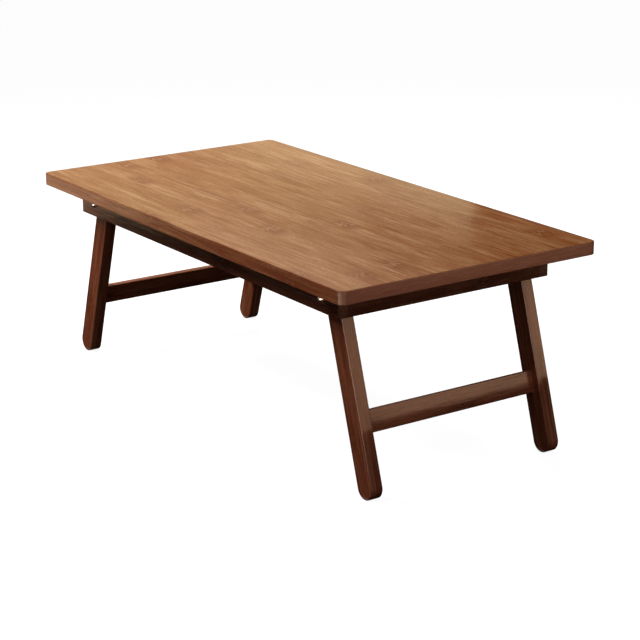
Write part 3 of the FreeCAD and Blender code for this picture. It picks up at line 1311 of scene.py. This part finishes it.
@dataclass
class PivotHardware:
    """The bolt, spacer, washer and lock nut of every pivot."""

    steps: int = 48
    head_rim: float = 0.0006
    head_height: float = 0.0046
    socket_width: float = 0.004
    socket_depth: float = 0.0022
    shank_radius: float = 0.003
    shank_chamfer: float = 0.0006
    dome_steps: int = 8
    ring_chamfer: float = 0.0003
    hole_radius: float = 0.0031
    nut_flat: float = 0.010
    nut_corner_chamfer: float = 0.0009
    nut_collar_height: float = 0.0016
    nut_collar_inset: float = 0.0007
    insert_lip: float = 0.0038
    insert_recess: float = 0.0003
    thread_pitch: float = 0.001
    thread_length: float = 0.010
    thread_ridge: float = 0.00035

    facing = (0.0, 1.0, 0.0)

    def places(self, depth: float) -> Piece:
        """One point on each pivot axis, a depth in from the rails' outer faces."""
        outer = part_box("back_rail")[1].y - depth
        return wire("pivot_places", [pivot(end, side.value * outer) for side in Side for end in End])

    def depth_of(self, node: str, inner: bool = False) -> float:
        """How far in from the rail's outer face a node starts, or ends.

        Args:
            node: a node at the back, on a pivot.
            inner: whether its far end is meant.

        Returns:
            The depth in metres.
        """
        low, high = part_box(node)
        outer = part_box("back_rail")[1].y
        return outer - (low.y if inner else high.y)

    def turned(
        self,
        shop: Workshop,
        name: str,
        stations: Sequence[Station],
        depth: float,
        material: Material,
        flats: float = UNCUT,
        cutters: Piece | None = None,
    ) -> Piece:
        """Turn a profile and set one on each pivot.

        Args:
            shop: the workshop with the recipes.
            name: the piece's name.
            stations: radius and height of each corner of the profile, height outwards.
            depth: how far in from the rails' outer faces the height is nothing.
            material: its material.
            flats: how far from the axis six flats lie, or UNCUT for none.
            cutters: an object to cut away.

        Returns:
            The finished piece.
        """
        piece = profile(name, stations)
        places = self.places(depth)
        shop.turning.add_to(
            piece, Steps=self.steps, Flats=flats, Places=places, Facing=self.facing, Material=material
        )
        helpers = [places]
        if cutters:
            shop.joinery.add_to(piece, Cutters=cutters, Material=material)
            helpers.append(cutters)
        return settled(piece, *helpers)

    def bolt_stations(self, length: float) -> list[Station]:
        """Profile of a bolt, from the tip of its shank to the top of its domed head.

        Args:
            length: from under the head to the tip.

        Returns:
            Radius and height of each corner.
        """
        head = box_size("back_right_pivot_bolt").x / 2
        cap = self.head_height - self.head_rim
        sphere = (head * head + cap * cap) / (2 * cap)
        stations = [
            (0.0, -length),
            (self.shank_radius - self.shank_chamfer, -length),
            (self.shank_radius, self.shank_chamfer - length),
            (self.shank_radius, 0.0),
            (head, 0.0),
            (head, self.head_rim),
        ]
        opening = math.asin(head / sphere)
        for step in range(1, self.dome_steps + 1):
            angle = opening * (1 - step / self.dome_steps)
            height = self.head_height - sphere + sphere * math.cos(angle)
            stations.append((sphere * math.sin(angle), height))
        return stations

    def ring_stations(self, node: str) -> list[Station]:
        """Profile of a flat ring with lightly eased rims, from its inner face outwards.

        Args:
            node: the ring's node in the frame.

        Returns:
            Radius and height of each corner.
        """
        size = box_size(node)
        radius, thickness, ease = size.x / 2, size.y, self.ring_chamfer
        return [
            (self.hole_radius, -thickness),
            (radius - ease, -thickness),
            (radius, ease - thickness),
            (radius, -ease),
            (radius - ease, 0.0),
            (self.hole_radius, 0.0),
            (self.hole_radius, -thickness),
        ]

    def build(self, shop: Workshop, bright: Plain, zinc: Plain, nylon: Plain) -> None:
        """Make the hardware of all four pivots.

        Args:
            shop: the workshop with the recipes.
            bright: the bolts' finish.
            zinc: the washers' and nuts' finish.
            nylon: the spacers' and inserts' finish.
        """
        bright_material, zinc_material, nylon_material = bright.dressed(), zinc.dressed(), nylon.dressed()
        self.build_bolts(shop, bright_material)
        rings = (("spacer", nylon_material, nylon), ("washer", zinc_material, zinc))
        for kind, material, finish in rings:
            node = "back_right_" + kind
            made = self.turned(shop, kind + "s", self.ring_stations(node), self.depth_of(node), material)
            dressed(made, "table", corner_nodes(kind))
        self.build_nuts(shop, zinc_material, nylon_material)

    def build_bolts(self, shop: Workshop, material: Material) -> None:
        """Make the bolts, each with a hexagon socket, and the thread at the end of each.

        Args:
            shop: the workshop with the recipes.
            material: their material.
        """
        length = self.depth_of("back_right_pivot_bolt", inner=True)
        corner = self.socket_width / math.cos(HEXAGON_HALF)
        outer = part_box("back_rail")[1].y + self.head_height
        sockets = [
            Bore(pivot(end, side.value * outer), BACKWARDS, corner, 2 * self.socket_depth)
            for side in Side
            for end in End
        ]
        cutters = bore_cutters(shop, "bolt_sockets", sockets, sides=6)
        bolts = self.turned(shop, "pivot_bolts", self.bolt_stations(length), 0.0, material, cutters=cutters)
        dressed(bolts, "table", corner_nodes("pivot_bolt"))
        threads = wire("bolt_threads", [])
        places = self.places(0.0)
        shop.thread.add_to(
            threads,
            Radius=self.shank_radius - self.thread_ridge / 2,
            Pitch=self.thread_pitch,
            Length=self.thread_length,
            Ridge=self.thread_ridge,
            Start=2 * self.shank_chamfer - length,
            Places=places,
            Facing=self.facing,
            Material=material,
        )
        threads = settled(threads, places)
        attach(threads, "table")

    def build_nuts(self, shop: Workshop, steel: Material, nylon: Material) -> None:
        """Make the lock nuts and the nylon ring in each one's collar.

        A nut's outer face lies against its washer, and its collar faces the table's middle.

        Args:
            shop: the workshop with the recipes.
            steel: the nuts' material.
            nylon: the rings' material.
        """
        node = "back_right_lock_nut"
        height = box_size(node).y
        depth = self.depth_of(node)
        flat = self.nut_flat / 2
        corner = flat / math.cos(HEXAGON_HALF)
        collar = flat - self.nut_collar_inset
        hex_height = height - self.nut_collar_height
        chamfer = self.nut_corner_chamfer
        stations = [
            (self.hole_radius, -hex_height),
            (self.insert_lip, -hex_height),
            (self.insert_lip, -height),
            (collar, -height),
            (collar, -hex_height),
            (corner, chamfer - hex_height),
            (corner, -chamfer),
            (flat, 0.0),
            (self.hole_radius, 0.0),
            (self.hole_radius, -hex_height),
        ]
        nuts = self.turned(shop, "lock_nuts", stations, depth, steel, flats=flat)
        dressed(nuts, "table", corner_nodes("lock_nut"))
        top = self.insert_recess - height
        ring = [
            (self.hole_radius, -hex_height),
            (self.hole_radius, top),
            (self.insert_lip, top),
            (self.insert_lip, -hex_height),
            (self.hole_radius, -hex_height),
        ]
        inserts = self.turned(shop, "lock_inserts", ring[::-1], depth, nylon)
        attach(inserts, "table")


@dataclass
class BoardScrews:
    """Cheese-head screws that hold the board down, deep in the rails' counterbores."""

    head_radius: float = 0.00375
    head_height: float = 0.0026
    head_chamfer: float = 0.0004
    cross_width: float = 0.0046
    cross_share: float = 0.3
    cross_depth: float = 0.0014
    shank_radius: float = 0.002
    tip_length: float = 0.003
    steps: int = 32

    def stations(self, length: float) -> list[Station]:
        """Profile of a screw from its head, which faces down, to its point.

        Args:
            length: from under the head to the point.

        Returns:
            Radius and height of each corner.
        """
        return [
            (0.0, -self.head_height),
            (self.head_radius - self.head_chamfer, -self.head_height),
            (self.head_radius, self.head_chamfer - self.head_height),
            (self.head_radius, 0.0),
            (self.shank_radius, 0.0),
            (self.shank_radius, length - self.tip_length),
            (0.0, length),
        ]

    def build(self, shop: Workshop, apron: Apron, zinc: Plain) -> None:
        """Make the ten screws in their rails, each with a cross in its head.

        Args:
            shop: the workshop with the recipes.
            apron: the apron whose rails they go through.
            zinc: their finish.
        """
        places = apron.all_screw_places()
        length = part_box("board_screws")[1].z - places[0].z
        piece = profile("wood_screws", self.stations(length))
        helper = wire("screw_places", places)
        material = zinc.dressed()
        shop.turning.add_to(
            piece, Steps=self.steps, Flats=UNCUT, Places=helper, Facing=UPWARDS, Material=material
        )
        crosses = []
        for place in places:
            mouth = place - self.head_height * UPWARDS
            for width, share in (
                (self.cross_width, self.cross_share),
                (self.cross_width * self.cross_share, 1 / self.cross_share),
            ):
                crosses.append(Bore(mouth, UPWARDS, width, 2 * self.cross_depth, share))
        cutters = bore_cutters(shop, "screw_crosses", crosses, sides=4)
        shop.joinery.add_to(piece, Cutters=cutters, Material=material)
        dressed(settled(piece, helper, cutters), "table", ["board_screws"])


def matt(name: str, corners: Sequence[Point]) -> tuple[Piece, Sheet, Node]:
    """Set up a flat matt surface of the room.

    Args:
        name: the surface's name.
        corners: its four corners in order.

    Returns:
        The surface, with its material's sheet and shader node.
    """
    mesh = bpy.data.meshes.new(name)
    mesh.from_pydata(corners, [], [(0, 1, 2, 3)])
    surface = new_object(name, mesh)
    material, sheet, shader = Finish(name + "_surface").begin()
    shader.inputs["Roughness"].default_value = 1.0
    shader.inputs["Specular IOR Level"].default_value = 0.0
    mesh.materials.append(material)
    return surface, sheet, shader


@dataclass
class Lamp:
    """A soft area lamp."""

    name: str
    place: Point
    target: Point
    width: float
    power: float

    def build(self) -> None:
        """Hang the lamp and aim it."""
        data = bpy.data.lights.new(self.name, "AREA")
        data.shape = "SQUARE"
        data.size = self.width
        data.energy = self.power
        lamp = bpy.data.objects.new(self.name, data)
        lamp.location = self.place
        lamp.visible_camera = False
        lamp.visible_glossy = False
        aim = Vector(self.target) - Vector(self.place)
        lamp.rotation_euler = aim.to_track_quat("-Z", "Y").to_euler()
        bpy.context.scene.collection.objects.link(lamp)


@dataclass
class Card:
    """A card that only shows in what the table's surfaces mirror: black, or a glowing reflector.

    It lies square to the axes, between two opposite corners that share one coordinate.
    """

    name: str
    low: Point
    high: Point
    glow: Colour = (0.0, 0.0, 0.0)

    def corners(self) -> list[Vector]:
        """The four corners in order.

        Returns:
            The corners, round the card.
        """
        low, high = Vector(self.low), Vector(self.high)
        wide_axis = 0 if high.x > low.x else 1
        second, last = low.copy(), high.copy()
        second[wide_axis] = high[wide_axis]
        last[wide_axis] = low[wide_axis]
        return [low, second, high, last]

    def build(self) -> None:
        """Set the card up."""
        card, sheet, shader = matt(self.name, self.corners())
        card.visible_camera = False
        card.visible_diffuse = False
        card.visible_shadow = False
        sheet.feed(shader.inputs["Base Color"], (0.0, 0.0, 0.0))
        sheet.feed(shader.inputs["Emission Color"], self.glow)
        sheet.feed(shader.inputs["Emission Strength"], 1.0)


@dataclass
class Studio:
    """The white room: floor, surrounding light, lamps and camera."""

    floor_half: float = 8.0
    floor_shade: float = 0.3
    floor_bounce: float = 0.06
    floor_glow: float = 0.93
    surround: float = 0.14
    mirrored: float = 0.35
    camera_place: Point = (2.15068, -1.44765, 0.92421)
    camera_azimuth: float = 55.477
    camera_elevation: float = 17.376
    camera_roll: float = -0.202
    lens: float = 109.15
    lamps: tuple[Lamp, ...] = (
        Lamp("front_left_lamp", (-0.8, -0.9, 1.2), (0.0, 0.0, 0.2), 0.5, 15.3),
        Lamp("back_left_lamp", (-0.9, 0.5, 1.3), (0.0, 0.0, 0.27), 0.5, 14.0),
        Lamp("front_lamp", (0.3, -1.3, 1.3), (0.2, -0.15, 0.1), 0.4, 1.8),
        Lamp("right_lamp", (1.3, 0.0, 1.2), (0.0, 0.0, 0.2), 0.6, 2.4),
    )
    cards: tuple[Card, ...] = (
        Card("flag", (-0.36, 0.6, 0.2), (0.9, 0.6, 1.4)),
        Card("dim_card", (-0.68, 0.6, 0.47), (-0.36, 0.6, 0.645)),
        Card("far_low_card", (-1.3, 0.6, 0.2), (-0.36, 0.6, 0.47), (0.95, 0.85, 0.52)),
        Card("far_left_card", (-3.2, 0.6, 0.2), (-1.3, 0.6, 0.58), (0.38, 0.30, 0.20)),
        Card("mid_card", (-1.3, 0.6, 0.47), (-0.68, 0.6, 0.645), (0.30, 0.28, 0.15)),
        Card("high_card", (-1.3, 0.6, 0.645), (-0.36, 0.6, 1.4), (0.95, 0.68, 0.46)),
        Card("high_left_card", (-3.2, 0.6, 0.58), (-1.3, 0.6, 1.4), (0.55, 0.50, 0.28)),
        Card("end_low_card", (0.75, -0.4, 0.0), (0.75, 1.2, 0.138)),
        Card("front_step_card", (0.4, -0.2, 0.0), (0.4, -0.096, 0.095)),
        Card("middle_step_card", (0.4, -0.096, 0.0), (0.4, 0.175, 0.101)),
        Card("back_step_card", (0.4, 0.175, 0.0), (0.4, 0.3, 0.107)),
        Card("end_high_card", (0.75, 0.15, 0.138), (0.75, 1.2, 0.7), (2.9, 1.9, 1.2)),
        Card("end_front_card", (0.75, -0.4, 0.138), (0.75, 0.15, 0.7), (1.9, 1.2, 0.75)),
        Card("floor_card", (-1.2, -0.85, 0.004), (2.0, 1.5, 0.004)),
        Card("side_card", (-1.9, -0.9, 0.006), (-0.99, -0.69, 0.006), (2.4, 1.85, 1.1)),
        Card("apron_card", (-1.9, -0.69, 0.006), (-1.09, -0.45, 0.006), (1.5, 0.75, 0.52)),
        Card("front_floor_card", (0.1, -1.7, 0.006), (2.3, -0.85, 0.006), (5.8, 4.1, 2.8)),
        Card("right_floor_card", (1.2, -0.85, 0.006), (2.3, -0.1, 0.006), (5.8, 4.1, 2.8)),
        Card("camera_card", (-0.4, -1.7, 0.006), (2.3, -1.7, 0.5), (5.0, 4.1, 3.5)),
    )

    def build(self) -> None:
        """Set up everything round the table."""
        self.build_world()
        self.build_floor()
        for card in self.cards:
            card.build()
        for lamp in self.lamps:
            lamp.build()
        self.build_camera()
        bpy.context.scene.view_settings.view_transform = "Standard"

    def seen_directly(self, sheet: Sheet) -> Any:
        """How bright white shows: full to the camera and through glass, dimmer where it is mirrored.

        Args:
            sheet: the sheet of the floor's or the world's tree.

        Returns:
            The brightness's socket.
        """
        path = sheet.node("ShaderNodeLightPath")
        direct = sheet.sum("MAXIMUM", path.outputs["Is Camera Ray"], path.outputs["Is Transmission Ray"])
        mirrored = sheet.sum("MULTIPLY", path.outputs["Is Glossy Ray"], self.mirrored)
        return sheet.sum("MAXIMUM", direct, mirrored)

    def build_world(self) -> None:
        """White where it is seen, and a plain level of light where it shines on things."""
        world = bpy.data.worlds.new("white_room")
        world.use_nodes = True
        bpy.context.scene.world = world
        sheet = Sheet(world.node_tree)
        background = world.node_tree.nodes["Background"]
        background.inputs["Color"].default_value = (1.0, 1.0, 1.0, 1.0)
        level = sheet.sum("MAXIMUM", self.seen_directly(sheet), self.surround)
        sheet.feed(background.inputs["Strength"], level)

    def build_floor(self) -> None:
        """A pale floor that looks white and keeps a faint shadow of the table."""
        half = self.floor_half
        corners = [(-half, -half, 0.0), (half, -half, 0.0), (half, half, 0.0), (-half, half, 0.0)]
        _, sheet, shader = matt("floor", corners)
        path = sheet.node("ShaderNodeLightPath")
        shade = sheet.smooth(path.outputs["Is Diffuse Ray"], 0.0, 1.0, self.floor_shade, self.floor_bounce)
        grey = sheet.node("ShaderNodeCombineColor", {0: shade, 1: shade, 2: shade})
        sheet.feed(shader.inputs["Base Color"], grey)
        sheet.feed(shader.inputs["Emission Color"], (1.0, 1.0, 1.0))
        glow = sheet.sum("MULTIPLY", self.seen_directly(sheet), self.floor_glow)
        sheet.feed(shader.inputs["Emission Strength"], glow)

    def build_camera(self) -> None:
        """The camera where the photograph was taken from."""
        azimuth = math.radians(self.camera_azimuth)
        elevation = math.radians(self.camera_elevation)
        roll = math.radians(self.camera_roll)
        back = Vector(
            (
                math.sin(azimuth) * math.cos(elevation),
                -math.cos(azimuth) * math.cos(elevation),
                math.sin(elevation),
            )
        )
        right = Vector((math.cos(azimuth), math.sin(azimuth), 0.0))
        up = back.cross(right)
        leaned_right = right * math.cos(roll) + up * math.sin(roll)
        leaned_up = up * math.cos(roll) - right * math.sin(roll)
        data = bpy.data.cameras.new("camera")
        data.lens = self.lens
        camera = bpy.data.objects.new("camera", data)
        turn = Matrix((leaned_right, leaned_up, back)).transposed().to_4x4()
        camera.matrix_world = Matrix.Translation(self.camera_place) @ turn
        bpy.context.scene.collection.objects.link(camera)
        bpy.context.scene.camera = camera


SPLAY = math.radians(17.0)
QUARTER = math.radians(90.0)

HONEY_BAMBOO = Bamboo(
    name="honey_bamboo",
    light=(0.494, 0.244, 0.115),
    middle=(0.362, 0.138, 0.050),
    dark=(0.266, 0.077, 0.0214),
    streak=(0.220, 0.051, 0.0157),
    node_halo=(0.262, 0.068, 0.021),
    node_band=(0.500, 0.250, 0.120),
    # The board's sides are darkened and reddened by painted shade.
    edge_tint=(0.78, 0.60, 0.56),
    end_tint=(0.80, 0.58, 0.80),
    internode=0.33,
    roughness=0.24,
    gloss=0.3,
    strip_contrast=0.42,
)

FINE = Grain((22.0, 420.0, 420.0), 3.0, 1.35)
BROAD = Grain((9.0, 150.0, 150.0), 3.0, 1.25)
DRIFT = Grain((5.0, 26.0, 26.0), 2.0, 1.4)
FLECKS = Grain((150.0, 700.0, 700.0), 1.0, 0.75)
GRAINS = (FINE, BROAD, DRIFT, FLECKS)

BOARD_LAYOUT = Layout(
    turn=(0.0, 0.0, 0.0),
    strip_width=0.0307,
    ply=0.0085,
    strips=(
        Strip(0.310, 0.360, 0.70, 0.55),
        Strip(0.420, 0.330, 0.30, 0.70),
        Strip(0.315, 0.400, 0.95, 0.35),
        Strip(0.125, 0.345, 1.00, 0.50),
        Strip(0.030, 0.333, 0.90, 0.40),
        Strip(0.487, 0.330, 0.40, 0.70),
        Strip(0.018, 0.487, 1.00, 0.50),
        Strip(0.055, 0.315, 0.35, 0.65),
        Strip(0.108, 0.342, 0.40, 0.55),
        Strip(0.195, 0.360, 0.25, 0.50),
        Strip(0.330, 0.340, 0.20, 0.60),
        Strip(0.165, 0.410, 0.45, 0.45),
        Strip(0.320, 0.370, 0.75, 0.55),
        Strip(0.500, 0.380, 0.40, 0.50),
    ),
)

DARK_BAMBOO = Bamboo(
    name="dark_bamboo",
    light=(0.335, 0.107, 0.052),
    middle=(0.262, 0.072, 0.032),
    dark=(0.178, 0.043, 0.018),
    streak=(0.120, 0.026, 0.012),
    node_halo=(0.140, 0.031, 0.013),
    node_band=(0.300, 0.093, 0.045),
    edge_tint=(1.0, 1.0, 1.0),
    end_tint=(0.75, 0.70, 0.70),
    internode=0.27,
    roughness=0.22,
    gloss=0.4,
    strip_contrast=0.5,
)

# The rails are darkened by painted shade for the shadow that the board casts on them, the long rails most.
LONG_RAIL_LAYOUT = Layout((0.0, 0.0, 0.0), 0.0068, 0.018, stain=0.62)
END_RAIL_LAYOUT = Layout((0.0, 0.0, -QUARTER), 0.0063, 0.018, stain=0.88)
LEG_LAYOUTS = {
    End.LEFT: Layout((0.0, QUARTER - SPLAY, 0.0), 0.0088, 0.0095),
    End.RIGHT: Layout((0.0, QUARTER + SPLAY, 0.0), 0.0088, 0.0095),
}
# The stretcher is two glued strips, and their tones are set apart as a painted sheen: the lighter strip on
# its upper part, the darker below.
STRETCHER_SHEEN_STRIPS = (Strip(0.016, 0.24, 1.0, 0.25), Strip(0.075, 0.24, 0.4, 0.75))
STRETCHER_LAYOUTS = {
    End.LEFT: Layout((0.0, -QUARTER - SPLAY, -QUARTER), 0.0177, 0.05, STRETCHER_SHEEN_STRIPS, 0.00295),
    End.RIGHT: Layout((0.0, SPLAY - QUARTER, -QUARTER), 0.0177, 0.05, STRETCHER_SHEEN_STRIPS, 0.00295),
}

STEEL = {
    "patch_stretch": (420.0,) * 3,
    "patch_span": (0.35, 0.7),
    "grain_stretch": (3000.0, 500.0, 3000.0),
    "grain_detail": 1.0,
    "grain_depth": 0.00001,
    "roughness_swing": 0.16,
    "metallic": 1.0,
}
BRIGHT_STEEL = Plain("bright_steel", (0.86, 0.85, 0.83), (0.78, 0.77, 0.75), roughness=0.24, **STEEL)
ZINC_STEEL = Plain("zinc_steel", (0.66, 0.68, 0.70), (0.56, 0.56, 0.54), roughness=0.34, **STEEL)
BLACK_NYLON = Plain(
    name="black_nylon",
    colour=(0.018, 0.018, 0.019),
    patch=(0.035, 0.035, 0.036),
    patch_stretch=(160.0,) * 3,
    patch_span=(0.5, 0.75),
    grain_stretch=(2600.0,) * 3,
    grain_detail=2.0,
    grain_depth=0.00002,
    roughness=0.5,
)
DOWEL_WOOD = Plain(
    name="plain_wood",
    colour=(0.55, 0.39, 0.23),
    patch=(0.66, 0.50, 0.32),
    patch_stretch=(1500.0, 40.0, 1500.0),
    patch_span=(0.3, 0.7),
    grain_stretch=(1500.0, 40.0, 1500.0),
    grain_detail=3.0,
    grain_depth=0.00006,
    roughness=0.6,
)


def dress_dowels() -> None:
    """Give the hidden dowels their plain wood."""
    dowels = frame["nodes"]["rail_dowels"]
    material = DOWEL_WOOD.dressed()
    for slot in dowels.material_slots:
        slot.material = material


def main() -> None:
    """Build the table and the room round it."""
    logging.basicConfig(level=logging.INFO, format="%(name)s %(message)s")
    shop = Workshop()
    Board().build(shop, HONEY_BAMBOO)
    apron = Apron()
    apron.build(shop, DARK_BAMBOO)
    for end in End:
        LegFrame(end).build(shop, DARK_BAMBOO)
    PivotHardware().build(shop, BRIGHT_STEEL, ZINC_STEEL, BLACK_NYLON)
    BoardScrews().build(shop, apron, ZINC_STEEL)
    dress_dowels()
    Studio().build()


if __name__ == "__main__":
    main()
